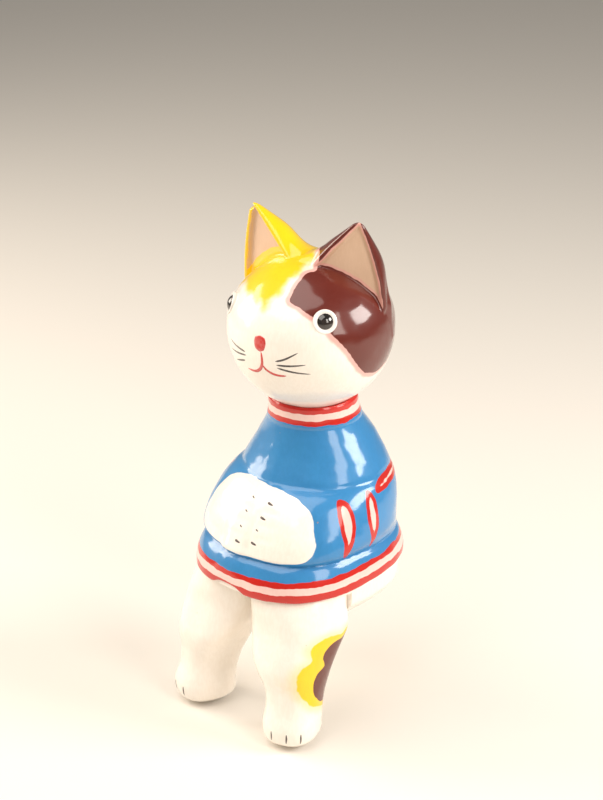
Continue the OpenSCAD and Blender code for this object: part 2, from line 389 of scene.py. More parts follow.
@dataclass(frozen=True)
class Enamel:
    """Brushed enamel paint on carved softwood under clear gloss varnish.

    The paint is laid by hand in thin coats, so its depth varies with the brush, and the
    varnish pools softly over the knife's facets: broad, slightly wavy reflections.
    """

    name: str
    cream: str = "fbf3e8"
    yellow: str = "fccd00"
    brown: str = "601a0c"
    roughness: float = 0.42
    coat_roughness: float = 0.12
    brush_mm: float = 1.1
    cloud_mm: float = 16.0
    nick_mm: float = 2.4
    worn_mm: float = 19.0
    bump_mm: float = 0.05

    def start(self) -> tuple[Material, Tree, Socket]:
        """Starts the material.

        Returns:
            The material, its emptied tree and the Object coordinates in metres.
        """
        material = bpy.data.materials.new(self.name)
        material.use_nodes = True
        tree = material.node_tree
        tree.nodes.clear()
        return material, tree, add(tree, "TexCoord", None, 3)

    def finish(self, tree: Tree, place: Socket, colour: Colour, worn: bool = True) -> None:
        """Adds the brush marks, the varnish and the output.

        Args:
            tree: The material's tree.
            place: Object coordinates.
            colour: The paint's colour.
            worn: Whether small nicks of bare wood show.
        """
        along = add(tree, "Mapping", {"Vector": place, "Scale": (1.0, 1.0, 0.28)})
        brush = add(tree, "TexNoise", {"Vector": along, "Scale": 1 / (self.brush_mm * MM), "Detail": 3.0,
                                       "Roughness": 0.55})
        cloud = add(tree, "TexNoise", {"Vector": place, "Scale": 1 / (self.cloud_mm * MM), "Detail": 3.0,
                                       "Roughness": 0.5})
        shade = cover(tree, cloud, 0.36, 0.70, colour, paint("ffffff"), 0.10, "SOFT_LIGHT")
        shade = cover(tree, brush, 0.62, 0.40, shade, paint("e6ddd4"), 0.12, "MULTIPLY")
        if worn:
            nick = add(tree, "TexNoise", {"Vector": place, "Scale": 1 / (self.nick_mm * MM), "Detail": 2.0})
            patch = add(tree, "TexNoise", {"Vector": place, "Scale": 1 / (self.worn_mm * MM), "Detail": 1.0})
            worn_here = add(tree, "MapRange", {0: patch, 1: 0.52, 2: 0.60, 4: 0.55},
                            interpolation_type="SMOOTHSTEP")
            shade = cover(tree, nick, 0.755, 0.785, shade, paint("b98a5e"), worn_here)
        low = add(tree, "Bump", {"Strength": 0.35, "Distance": self.bump_mm * 6 * MM, "Height": cloud})
        fine = add(tree, "Bump", {"Strength": 0.2, "Distance": self.bump_mm * MM, "Height": brush,
                                  "Normal": low})
        gloss = add(tree, "MapRange", {0: brush, 1: 0.3, 2: 0.7, 3: self.roughness - 0.06,
                                       4: self.roughness + 0.08})
        shader = add(tree, "BsdfPrincipled", {
            "Base Color": shade, "Roughness": gloss, "Normal": fine, "IOR": 1.5, "Specular IOR Level": 0.2,
            "Coat Weight": 1.0, "Coat Roughness": self.coat_roughness, "Coat IOR": 1.52,
        })
        add(tree, "OutputMaterial", {"Surface": shader})


@dataclass(frozen=True)
class HeadPaint(Enamel):
    """Cream enamel with sprayed yellow, brushed brown and the insides of the ears."""

    halo: str = "e8a79e"
    ear_skin: str = "d9b597"
    ear_rim: str = "e2a698"

    def material(self) -> Material:
        """Makes the material; the distances of its patches are stored on the head.

        Returns:
            The material.
        """
        material, tree, place = self.start()
        yellow = hand_drawn(tree, place, "yellow", 6.0, 2.0)
        brown = hand_drawn(tree, place, "brown", 5.0, 0.5)
        skin = hand_drawn(tree, place, "ear_skin", 6.0, 0.35)
        colour = cover(tree, yellow, 3.2, -2.6, paint(self.cream), paint(self.yellow))
        colour = cover(tree, brown, 2.9, 1.3, colour, paint(self.halo), 0.9)
        colour = cover(tree, brown, 0.2, -0.05, colour, paint(self.brown))
        # the ear's rim is pink only beside the brown
        beside = add(tree, "MapRange", {0: brown, 1: 3.0, 2: 6.0, 3: 1.0, 4: 0.0},
                     interpolation_type="SMOOTHSTEP")
        colour = cover(tree, skin, 0.25, 0.0, colour, paint(self.ear_rim), beside)
        colour = cover(tree, skin, -0.6, -1.2, colour, paint(self.ear_skin))
        self.finish(tree, place, colour, worn=False)
        return material


@dataclass(frozen=True)
class SweaterPaint(Enamel):
    """Blue enamel sweater with red and pale bands, cream paws and cream hips."""

    blue: str = "3384bf"
    red: str = "c61604"
    pale: str = "f2cdc4"

    def material(self) -> Material:
        """Makes the material; the distances of its bands are stored on the torso.

        Returns:
            The material.
        """
        material, tree, place = self.start()
        colour = paint(self.blue)
        for band, top in (("hem", 9.3), ("collar", 8.4)):
            edge = hand_drawn(tree, place, band, 7.0, 0.45)
            line = hand_drawn(tree, place, band, 9.0, 0.55)
            colour = cover(tree, edge, top, top - 0.2, colour, paint(self.red))
            colour = cover(tree, line, top - 2.4, top - 2.6, colour, paint(self.pale))
            colour = cover(tree, edge, top - 5.5, top - 5.7, colour, paint(self.red))
        sleeve = hand_drawn(tree, place, "sleeve", 5.0, 0.3)
        colour = cover(tree, sleeve, 0.1, -0.1, colour, paint(self.red))
        colour = cover(tree, sleeve, -1.8, -2.05, colour, paint(self.pale))
        paws = hand_drawn(tree, place, "paws", 8.0, 0.3)
        colour = cover(tree, paws, 0.12, -0.12, colour, paint(self.cream))
        hips = hand_drawn(tree, place, "hips", 6.0, 0.2)
        colour = cover(tree, hips, 0.1, -0.1, colour, paint(self.cream))
        self.finish(tree, place, colour)
        return material


@dataclass(frozen=True)
class LegPaint(Enamel):
    """Cream enamel with a petalled patch of yellow and brown."""

    glow: str = "f7d77a"

    def material(self) -> Material:
        """Makes the material; the distances of its patch are stored on the leg.

        Returns:
            The material.
        """
        material, tree, place = self.start()
        yellow = hand_drawn(tree, place, "petal_yellow", 5.0, 0.6)
        brown = hand_drawn(tree, place, "petal_brown", 5.0, 0.3)
        colour = cover(tree, yellow, 5.0, 0.0, paint(self.cream), paint(self.glow), 0.55)
        colour = cover(tree, yellow, 0.5, -0.2, colour, paint(self.yellow))
        colour = cover(tree, brown, 0.2, -0.1, colour, paint(self.brown))
        self.finish(tree, place, colour)
        return material


@dataclass(frozen=True)
class PlainEnamel(Enamel):
    """One coat of enamel laid with a fine brush: thicker in the middle of the stroke."""

    colour: str = "ca1a06"
    thin_mm: float = 1.6

    def material(self) -> Material:
        """Makes the material; where the coat is thin, a tenth of white shows through.

        Returns:
            The material.
        """
        material, tree, place = self.start()
        noise = add(tree, "TexNoise", {"Vector": place, "Scale": 1 / (self.thin_mm * MM), "Detail": 2.0})
        colour = cover(tree, noise, 0.25, 0.75, paint(self.colour), paint("ffffff"), 0.10)
        self.finish(tree, place, colour, worn=False)
        return material


@dataclass(frozen=True)
class BlackBead(Enamel):
    """Polished black acrylic half-bead: near mirror gloss with a faint cast in its depth."""

    colour: str = "14100e"
    cast: str = "2b211b"
    cloud_mm: float = 3.0

    def material(self) -> Material:
        """Makes the material.

        Returns:
            The material.
        """
        material, tree, place = self.start()
        cloud = add(tree, "TexNoise", {"Vector": place, "Scale": 1 / (self.cloud_mm * MM), "Detail": 2.0})
        colour = cover(tree, cloud, 0.4, 0.7, paint(self.colour), paint(self.cast))
        rough = add(tree, "MapRange", {0: cloud, 1: 0.3, 2: 0.7, 3: 0.05, 4: 0.12})
        shader = add(tree, "BsdfPrincipled", {"Base Color": colour, "Roughness": rough, "IOR": 1.49,
                                              "Coat Weight": 1.0, "Coat Roughness": 0.03})
        add(tree, "OutputMaterial", {"Surface": shader})
        return material


@dataclass(frozen=True)
class BareBeech(Enamel):
    """Turned beech dowel: fine straight grain along its length and short dark flecks."""

    pale: str = "d7b083"
    dark: str = "b98a58"
    fleck: str = "8a5d35"
    grain_mm: float = 0.8
    fleck_mm: float = 0.35

    def material(self) -> Material:
        """Makes the material.

        Returns:
            The material.
        """
        material, tree, place = self.start()
        along = add(tree, "Mapping", {"Vector": place, "Scale": (1.0, 1.0, 0.08)})
        grain = add(tree, "TexNoise", {"Vector": along, "Scale": 1 / (self.grain_mm * MM), "Detail": 4.0})
        fleck = add(tree, "TexNoise", {"Vector": along, "Scale": 1 / (self.fleck_mm * MM), "Detail": 1.0})
        colour = cover(tree, grain, 0.35, 0.7, paint(self.pale), paint(self.dark))
        colour = cover(tree, fleck, 0.62, 0.7, colour, paint(self.fleck), 0.6)
        rough = add(tree, "MapRange", {0: grain, 1: 0.3, 2: 0.7, 3: 0.6, 4: 0.75})
        bump = add(tree, "Bump", {"Strength": 0.4, "Distance": 0.05 * MM, "Height": grain})
        shader = add(tree, "BsdfPrincipled", {"Base Color": colour, "Roughness": rough, "Normal": bump})
        add(tree, "OutputMaterial", {"Surface": shader})
        return material


# ---------------------------------------------------------------- the torso


@dataclass
class Torso:
    """Sweater, arms, paws, hips and seat, carved from one block. Sizes in mm."""

    height: float = 91.0
    neck_lean: float = math.radians(6)
    collar_lean: float = math.radians(1)
    hem_w: float = 86.0
    hem_front: float = 56.0
    hem_back: float = 35.0
    hem_lip: float = 1.5
    hem_low: float = 12.0
    hem_high: float = 17.0
    elbow_w: float = 76.0
    shoulder_w: float = 54.0
    collar_h: float = 9.0
    collar_r: float = 19.6
    recess_r: float = 17.6
    collar_mid: float = -2.1
    recess_depth: float = 1.5
    inside_r: float = 18.2
    chest_z: float = 60.0
    notch_front: float = 21.0
    paws_z: float = 42.9
    paws_half_h: float = 13.6
    paws_half_turn: float = 51.5
    paws_middle: float = 1.0
    fingers_meet: float = 8.0
    arm_relief: float = 6.0
    around: int = 288
    keys: list = field(default_factory=list)

    def __post_init__(self) -> None:
        """Works out the hem's middle and the sweater's key rings."""
        self.mid = (self.hem_back - self.hem_front) / 2
        self.depth = (self.hem_back + self.hem_front) / 2
        w, e, s, c = self.hem_w / 2, self.elbow_w / 2, self.shoulder_w / 2, self.collar_r
        d, m = self.depth, self.mid
        neck = 1 - self.collar_h / (self.height - self.hem_low)
        self.keys = [
            (0.00, w, d, m, 2.5),
            (0.05, w - 0.2, d - 0.2, m, 2.5),
            (0.12, w - 1.8, d - 1.8, m, 2.5),
            (0.20, w - 4.0, d - 4.5, m * 0.9, 2.45),
            (0.28, (w + e) / 2 - 1.5, d - 8.0, m * 0.7, 2.4),
            (0.50, e - 3.0, e - 4.5, m * 0.1, 2.3),
            (0.72, s, s - 0.5, 0.5, 2.1),
            (neck, c + 1.0, c + 1.0, -1.2, 2.0),
            (1.00, c, c, self.collar_mid, 2.0),
        ]

    def hem_edge(self, a: Points) -> Points:
        """Height of the hem's lower edge at an angle from the front; it is notched between the thighs.

        Args:
            a: Angle from the front, in radians.

        Returns:
            The height in mm.
        """
        turn = np.degrees((a + math.pi) % (2 * math.pi) - math.pi)
        notch = 2.6 * np.exp(-(((turn + 3) / 10) ** 4))
        return self.hem_low + (self.hem_high - self.hem_low) * (1 - np.cos(a)) / 2 + notch

    def paw_field(self, a: Points, z: Points) -> Points:
        """How far a place is from the outline of the joined paws, about in mm, below 0 inside.

        Args:
            a: Angle from the front, in radians.
            z: Height in mm.

        Returns:
            The distance.
        """
        turn = np.degrees(a) - self.paws_middle
        across = np.abs(turn) / self.paws_half_turn
        up = np.abs(z - self.paws_z + 0.02 * turn) / self.paws_half_h
        return ((across**4 + up**4) ** 0.25 - 1) * self.paws_half_h

    def carve(self, a: Points, z: Points) -> Points:
        """How far the arms and paws stand out of the sweater.

        Args:
            a: Angle from the front, about the hem's middle, in radians.
            z: Height in mm.

        Returns:
            The push in mm.
        """
        turn = np.degrees(a)
        side = np.abs(turn)
        reach = np.interp(side, (0, 38, 60, 90, 120, 152), (1.0, 1.0, 0.80, 0.52, 0.30, 0.0))
        up = np.clip(np.abs(z - self.paws_z + 0.6) / (self.paws_half_h + 0.9), 0, 1)
        push = self.arm_relief * reach * (1 - up**2.5) ** 0.7
        inner = smooth_step(-self.paw_field(a, z), 0.5, 4.0)
        off = turn - self.fingers_meet
        # the line where the paws meet and the shallow valleys between the fingers on either side of it
        push -= 0.45 * np.exp(-((off / 2.2) ** 2)) * inner
        for level in (48.3, 43.0, 37.6):
            near = np.exp(-((off / 17.0) ** 4)) * smooth_step(np.abs(off), 2, 8)
            push -= 0.32 * near * np.exp(-(((z - level) / 1.1) ** 2)) * inner
        upper = np.exp(-(((side - 104) / 20) ** 2)) * np.exp(-(((z - 61) / 11) ** 2))
        push += 1.3 * upper
        back = 1 - smooth_step(side, 126, 160)
        push -= 0.8 * np.exp(-(((z - 28.0) / 1.5) ** 2)) * back
        push -= 0.35 * np.exp(-(((z - 57.6) / 1.3) ** 2)) * smooth_step(side, 34, 52) * back
        # a shallow cut marks the cuff, where paint changes from paw to sleeve
        cuff = np.exp(-(((self.paw_field(a, z) - 0.2) / 0.7) ** 2)) * smooth_step(side, 38, 48)
        return push - 0.3 * cuff

    def build(self) -> Piece:
        """Wraps the block, cuts the room for the legs and stores the painted distances.

        Returns:
            The torso.
        """
        lip = self.hem_lip
        hip = fill_rows(((-4, lip + 9), (0, lip + 5), (4, lip + 1.5), (9, lip), (30, lip)), 12)
        seat = [("seat", f) for f in np.linspace(0, 1, 10)]
        hips = [("hips", f) for f in np.linspace(0, 1, 16)[1:]]
        under = [("under", f) for f in (0.35, 0.7, 0.9)]
        knit = [("knit", f) for f in fill_rows(self.keys, 22)]
        rim = [("rim", f) for f in np.linspace(0, 1, 6)[1:]]
        floor = [("floor", f) for f in (1.0, 0.6, 0.3, 0.0)]
        plan = seat + hips + under + knit + rim + floor

        def place(a: Points, row: Points) -> Points:
            """Puts each vertex of the grid on the block.

            Args:
                a: Angle from the front, in radians.
                row: Number of each vertex's row.

            Returns:
                The points in mm.
            """
            out = np.zeros((len(a), 3))
            low = self.hem_edge(a)
            for i, (kind, f) in enumerate(plan):
                at = row == i
                b = a[at]
                edge = low[at]
                if kind == "seat":
                    r = f * bow(b, self.hem_w / 2 - lip - 5, self.depth - lip - 5, 2.5)
                    z, mid = 0 * b, self.mid
                elif kind == "hips":
                    z = f * edge
                    inset = np.interp(z, hip[:, 0], hip[:, 1])
                    r, mid = bow(b, self.hem_w / 2 - inset, self.depth - inset, 2.5), self.mid
                elif kind == "under":
                    r = bow(b, self.hem_w / 2 - lip * (1 - f), self.depth - lip * (1 - f), 2.5) - 0.3 * f**4
                    z, mid = edge + 0.35 * f**6, self.mid
                elif kind == "knit":
                    z = edge + f[0] * (self.height - edge)
                    r = bow(b, f[1], f[2], f[4])
                    r = r - 0.3 * (1 - smooth_step(z - edge, 0.0, 0.7)) - 0.3 * smooth_step(z, 90.3, 91.0)
                    # the collar is a rim of its own, a hair proud of the sweater below it
                    rim_on = smooth_step(z, self.height - 10.2, self.height - 9.2)
                    mid = f[3]
                    a_hem = np.arctan2(r * np.sin(b), self.mid - mid + r * np.cos(b))
                    r = r + 0.55 * rim_on + self.carve(a_hem, z) * (1 - smooth_step(z, 74, 80))
                elif kind == "rim":
                    turn = f * math.pi / 2
                    wide = self.collar_r + 0.25 - self.recess_r
                    r = self.recess_r + wide * math.cos(turn) + 0 * b
                    z = self.height + 0.45 * math.sin(2 * turn) + 0 * b - (self.recess_depth * (f > 0.99))
                    mid = self.collar_mid
                else:
                    r, z = f * self.recess_r + 0 * b, self.height - self.recess_depth + 0 * b
                    mid = self.collar_mid
                y = mid - r * np.cos(b)
                share = np.clip((z - edge) / (self.height - edge), 0, 1.02)
                out[at] = np.stack([r * np.sin(b), y, z + y * math.tan(self.collar_lean) * share**3], axis=1)
            return out

        piece = wrap("sweater", self.around, len(plan) - 1, place)
        close_up(piece)
        p = points_of(piece)
        level = p[:, 2] > 0.5
        a = np.arctan2(p[:, 0], self.mid * np.clip(1 - (p[:, 2] - 20) / 40, 0, 1) - p[:, 1])
        out = p - np.array([0, self.mid, 45])
        out /= np.linalg.norm(out, axis=1)[:, None]
        knife = knife_marks(p, (0.22, 21, 1.0), (0.10, 9, 4.0)) * smooth_step(p[:, 2], 1, 6)
        p = np.where(level[:, None], p + out * knife[:, None], p)
        move_points(piece, p)
        self.cut_notch(piece)
        self.store(piece)
        return piece

    def cut_notch(self, piece: Piece) -> None:
        """Cuts away the front of the underside, where the legs are glued.

        Args:
            piece: The torso.
        """
        box = new_piece("notch_cutter", bpy.ops.mesh.primitive_cube_add, size=1)
        box.scale = (0.2, 0.1, 0.05)
        box.location = (0, -self.notch_front * MM - 0.05, self.hem_low * MM - 0.025)
        settle(box)
        cut = piece.modifiers.new("notch", "BOOLEAN")
        cut.operation = "DIFFERENCE"
        cut.solver = "EXACT"
        cut.object = box
        apply_modifiers(piece)
        bpy.data.objects.remove(box)
        bpy.ops.object.shade_smooth_by_angle(angle=math.radians(50))

    def sleeve_field(self, a: Points, z: Points) -> Points:
        """Distance to the nearest stripe on the sleeves, in mm, below 0 inside.

        Args:
            a: Angle from the front, in radians.
            z: Height in mm.

        Returns:
            The distance.
        """
        stripes = (
            ((74, 54), (79, 52.5), (81, 48.5), (80.3, 42), (76.5, 35.5), (71.5, 29), (70, 31), (70, 37),
             (69.3, 43), (69.5, 49), (71, 53)),
            ((98, 55), (100.7, 52.5), (101.5, 47), (100.5, 41), (97, 35), (93.5, 29.7), (92, 31.5),
             (91.5, 37), (90.7, 43.5), (92, 49), (95, 53.8)),
            ((104, 53.8), (109, 56.2), (121, 57.6), (135, 58), (145, 57.3), (146, 55), (138, 53.6), (122, 53),
             (110, 52.2), (105, 52.2)),
        )
        elbow = 38.0
        place = np.stack([np.abs(a) * elbow, z], axis=1)
        best = np.full(len(a), 20.0)
        for stripe in stripes:
            corners = [(math.radians(t) * elbow, h) for t, h in stripe]
            best = np.minimum(best, outline_distance(place, corners, 5))
        return best

    def store(self, piece: Piece) -> None:
        """Stores the distances that the sweater's paint is drawn by.

        Args:
            piece: The torso.
        """
        p = points_of(piece)
        share = np.clip((p[:, 2] - self.hem_low) / (self.height - self.hem_low), 0, 1)
        flat_z = p[:, 2] - p[:, 1] * math.tan(self.collar_lean) * share**3
        a = np.arctan2(p[:, 0], self.mid - p[:, 1])
        edge = self.hem_low + (self.hem_high - self.hem_low) * (1 - np.cos(a)) / 2
        inside = (np.hypot(p[:, 0], p[:, 1]) < self.inside_r) & (flat_z > self.chest_z)
        mark(piece, "hem", flat_z - edge)
        mark(piece, "collar", np.where(inside, 1.0, self.height - flat_z))
        mark(piece, "hips", flat_z - self.hem_edge(a) + 0.05)
        mark(piece, "paws", self.paw_field(a, flat_z))
        mark(piece, "sleeve", self.sleeve_field(a, flat_z))


# ---------------------------------------------------------------- the head


@dataclass
class Ear:
    """An ear carved from the block of the head, by the corners of its hollowed front. Sizes in mm."""

    tip: Triple
    inner: Triple
    outer: Triple
    bulge: float = 1.2
    hollow: float = 1.6
    tip_round: float = 1.4

    def __post_init__(self) -> None:
        """Works out the ear's own directions: down its front, across it and ahead of it."""
        self.top = np.array(self.tip)
        to_inner, to_outer = np.array(self.inner) - self.top, np.array(self.outer) - self.top
        side = 1.0 if self.tip[0] > 0 else -1.0
        ahead = np.cross(to_inner, to_outer) * side
        self.ahead = ahead / np.linalg.norm(ahead)
        self.length = np.linalg.norm(to_outer) * 0.88
        to_inner, to_outer = to_inner / np.linalg.norm(to_inner), to_outer / np.linalg.norm(to_outer)
        down = to_inner + to_outer
        self.down = down / np.linalg.norm(down)
        across = to_outer - (to_outer @ self.down) * self.down
        self.across = across / np.linalg.norm(across)
        self.spread = math.tan(math.acos(to_inner @ to_outer) / 2)

    def fields(self, p: Points) -> tuple[Points, Points, Points, Points]:
        """How points lie to the ear.

        Args:
            p: Points in the head's own frame.

        Returns:
            Distance to the rounded back, distance to the hollowed front, depth behind the front and
            distance in from the front's two long edges.
        """
        r = p - self.top
        u, v, w = r @ self.down, r @ self.across, -(r @ self.ahead)
        below = np.maximum(u, 0)
        share = np.clip(u / self.length, 0, 1)
        arch = 4 * share * (1 - share)
        half = self.tip_round + self.spread * below + self.bulge * arch
        # the back flattens and the sides draw in where the ear runs out on the ball
        base = smooth_step(u, self.length - 26, self.length + 1)
        half = half - 6.0 * smooth_step(u, self.length - 4, self.length + 8)
        mid = self.bulge * 0.8 * arch
        centre, deep = 0.34 * below * (1 - base), 0.58 * below * (1 - 0.30 * base) + self.tip_round + 0.4
        wide = half / np.sqrt(1 - (centre / deep) ** 2)
        section = (np.sqrt(((v - mid) / wide) ** 2 + ((w - centre) / deep) ** 2) - 1) * np.minimum(wide, deep)
        back = np.maximum(soft_max(section, -u - 0.2, 3.2), u - self.length - 6)
        inset = half - np.abs(v - mid)
        return back, -w + self.hollow * smooth_step(inset, 1.3, 4.4), w, inset

    def rough(self) -> Piece:
        """A cone with a flat front, about the size of the ear.

        Returns:
            The cone.
        """
        ear = new_piece("rough_ear", bpy.ops.mesh.primitive_cone_add, vertices=40, radius1=0.02, depth=0.05)
        p = points_of(ear)
        down = np.where(p[:, 2] > 0, 0.0, self.length - 3)
        turn = np.arctan2(p[:, 1], p[:, 0])
        v = self.spread * 1.12 * down * np.cos(turn)
        w = np.maximum(down * (0.34 + 0.58 * np.sin(turn)), 0.4 * (down > 0))
        q = self.top + down[:, None] * self.down + v[:, None] * self.across - w[:, None] * self.ahead
        move_points(ear, q)
        close_up(ear)
        return ear


@dataclass
class Head:
    """Ball of the head with both ears carved in one. Sizes in mm, in the head's own frame."""

    torso: Torso
    radius: float = 37.0
    crown_drop: float = 3.8
    turn: float = math.radians(7)
    left_ear: Ear = field(default_factory=lambda: Ear((27.4, 3.1, 51.6), (9.6, -6.6, 31.8), (35.3, 5.6, 9.6)))
    right_ear: Ear = field(
        default_factory=lambda: Ear((-29.3, 2.6, 51.4), (-8.2, -5.2, 34.0), (-36.4, 2.0, 12.0), hollow=2.4)
    )
    grain: float = 0.6

    def __post_init__(self) -> None:
        """Works out where the middle of the ball is."""
        foot = self.radius * 0.39
        self.foot_drop = math.sqrt(self.radius**2 - foot**2)
        lift = self.foot_drop - self.torso.recess_depth
        lean = self.torso.neck_lean
        cl, sl, ct, st = math.cos(lean), math.sin(lean), math.cos(self.turn), math.sin(self.turn)
        tilt = np.array([[1, 0, 0], [0, cl, -sl], [0, sl, cl]])
        spin = np.array([[ct, -st, 0], [st, ct, 0], [0, 0, 1]])
        self.pose = tilt @ spin
        self.middle = np.array([0, 0, self.torso.height]) + tilt @ np.array([0, 0, lift])

    def to_world(self, p: Points) -> Points:
        """Moves points from the head's own frame to the cat's."""
        return p @ self.pose.T + self.middle

    def on_ball(self, turn: float, lift: float, out: float = 0.0) -> np.ndarray:
        """A point on the ball, in the head's own frame.

        Args:
            turn: Degrees from the middle of the face towards the cat's left.
            lift: Degrees above the middle.
            out: Distance above the surface, in mm.

        Returns:
            The point in mm.
        """
        t, l = math.radians(turn), math.radians(lift)
        way = np.array([math.sin(t) * math.cos(l), -math.cos(t) * math.cos(l), math.sin(l)])
        return (self.radius + out) * way

    def ball(self, p: Points) -> Points:
        """Distance to the ball, whose crown is carved lower than a full round."""
        far = np.linalg.norm(p, axis=1)
        return far - self.radius + self.crown_drop * smooth_step(p[:, 2] / far, 0.15, 1.0)

    def ear(self, p: Points) -> tuple[Points, ...]:
        """The fields of the ear on the same side as each point.

        Args:
            p: Points in the head's own frame.

        Returns:
            What Ear.fields gives.
        """
        left = p[:, 0] > 0
        pairs = zip(self.left_ear.fields(p), self.right_ear.fields(p))
        return tuple(np.where(left, a, b) for a, b in pairs)

    def solid(self, p: Points) -> Points:
        """The head's surface as a field: below 0 inside, 0 on the surface.

        Args:
            p: Points in the head's own frame.

        Returns:
            The field.
        """
        ball = self.ball(p)
        back, front, depth, _ = self.ear(p)
        ear = soft_max(front, back, 1.1)
        # crisp where the front of the ear meets the brow, flowing into the ball behind
        k = 0.9 + 8.0 * smooth_step(depth, 0.8, 6.0)
        h = np.clip(0.5 + 0.5 * (ear - ball) / k, 0, 1)
        both = ear + (ball - ear) * h - k * h * (1 - h)
        return soft_max(both, -p[:, 2] - self.foot_drop, 0.5)

    def settle_on(self, p: Points, rounds: int) -> Points:
        """Moves points onto the head's surface by the field's slope.

        Args:
            p: Points in the head's own frame.
            rounds: Steps to take.

        Returns:
            The moved points.
        """
        e = 0.02
        for _ in range(rounds):
            f = self.solid(p)
            slopes = [(self.solid(p + d) - self.solid(p - d)) / (2 * e) for d in np.eye(3) * e]
            slope = np.stack(slopes, axis=1)
            step = slope * (f / np.maximum(np.sum(slope**2, axis=1), 0.2))[:, None]
            long = np.maximum(np.linalg.norm(step, axis=1), 1e-9)
            p = p - step * np.minimum(1, 1.5 / long)[:, None]
        return p

    def build(self) -> Piece:
        """Joins a ball and two rough ears, remeshes them and draws them onto the carved surface.

        Returns:
            The head.
        """
        ball = new_piece("head_carved", bpy.ops.mesh.primitive_uv_sphere_add, segments=96, ring_count=48,
                         radius=(self.radius - 0.5) * MM)
        parts = [ball, self.left_ear.rough(), self.right_ear.rough()]
        bpy.ops.object.select_all(action="DESELECT")
        for part in parts:
            part.select_set(True)
        bpy.context.view_layer.objects.active = ball
        bpy.ops.object.join()
        self.melt(ball)
        for _ in range(2):
            move_points(ball, self.settle_on(points_of(ball), 6))
            self.melt(ball)
        move_points(ball, self.settle_on(points_of(ball), 4))
        for _ in range(4):
            relax = ball.modifiers.new("relax", "SMOOTH")
            relax.factor = 0.5
            relax.iterations = 5
            apply_modifiers(ball)
            move_points(ball, self.settle_on(points_of(ball), 3))
        p = points_of(ball)
        self.store(ball, p)
        back, front, _, _ = self.ear(p)
        body = smooth_step(np.maximum(front, back), -0.5, 4.0)
        away = p / np.linalg.norm(p, axis=1)[:, None]
        knife = knife_marks(p, (0.20, 23, 2.0), (0.07, 9, 6.0)) * (0.15 + 0.85 * body)
        p = p + away * knife[:, None]
        move_points(ball, self.to_world(p))
        close_up(ball, 0.001)
        return ball

    def melt(self, piece: Piece) -> None:
        """Remeshes a piece into one skin of small, even faces.

        Args:
            piece: The piece.
        """
        melt = piece.modifiers.new("melt", "REMESH")
        melt.mode = "VOXEL"
        melt.voxel_size = self.grain * MM
        apply_modifiers(piece)

    def flatten(self, p: Points, centre: np.ndarray) -> Points:
        """Rolls the ball's surface out flat round a centre, keeping distances from it in mm.

        Args:
            p: Points in the head's own frame.
            centre: The centre, on the ball.

        Returns:
            The points on the flat.
        """
        c = centre / np.linalg.norm(centre)
        east, north = compass(c)
        d = p / np.linalg.norm(p, axis=1)[:, None]
        angle = np.arccos(np.clip(d @ c, -1, 1))
        flat = np.stack([d @ east, d @ north], axis=1)
        size = np.maximum(np.linalg.norm(flat, axis=1), 1e-9)
        return flat * (angle * self.radius / size)[:, None]

    def patch(self, p: Points, corners: Sequence[Pair], centre: Pair) -> Points:
        """Distance to a patch whose corners are given as turn and lift in degrees.

        Args:
            p: Points in the head's own frame.
            corners: The patch's corners.
            centre: Turn and lift of a place amid them.

        Returns:
            The distance in mm, below 0 inside.
        """
        middle = self.on_ball(*centre)
        outline = self.flatten(np.array([self.on_ball(*c) for c in corners]), middle)
        return outline_distance(self.flatten(p, middle), outline, 5)

    def store(self, piece: Piece, p: Points) -> None:
        """Stores the distances that the head's paint is drawn by.

        Args:
            piece: The head.
            p: Points in the head's own frame.
        """
        brown = ((56, 67), (34, 63.5), (18.6, 43), (29, 36), (41, 27.5), (50, 17), (59, 5), (65, -5),
                 (71, -14.5), (79, -21), (88, -24), (99, -23.5), (110, -20), (122, -12), (140, -2),
                 (158, 16), (166, 42), (150, 66), (100, 78))
        yellow = ((-60, 36), (-47, 39), (-28, 36), (-12, 36), (-3, 33), (0, 39), (5, 44), (8, 52), (12, 61),
                  (28, 69), (80, 79), (170, 70), (-172, 42), (-148, 20), (-118, 8), (-92, 6), (-76, 22))
        mark(piece, "brown", self.patch(p, brown, (92, 28)))
        mark(piece, "yellow", self.patch(p, yellow, (-75, 62)))
        _, front, _, inset = self.ear(p)
        proud = self.ball(p)
        brow = np.where(p[:, 0] > 0, 1.0, 3.2)
        mark(piece, "ear_skin", np.maximum.reduce([1.4 - inset, 4 * (np.abs(front) - 1.1), brow - proud]))


# ---------------------------------------------------------------- legs


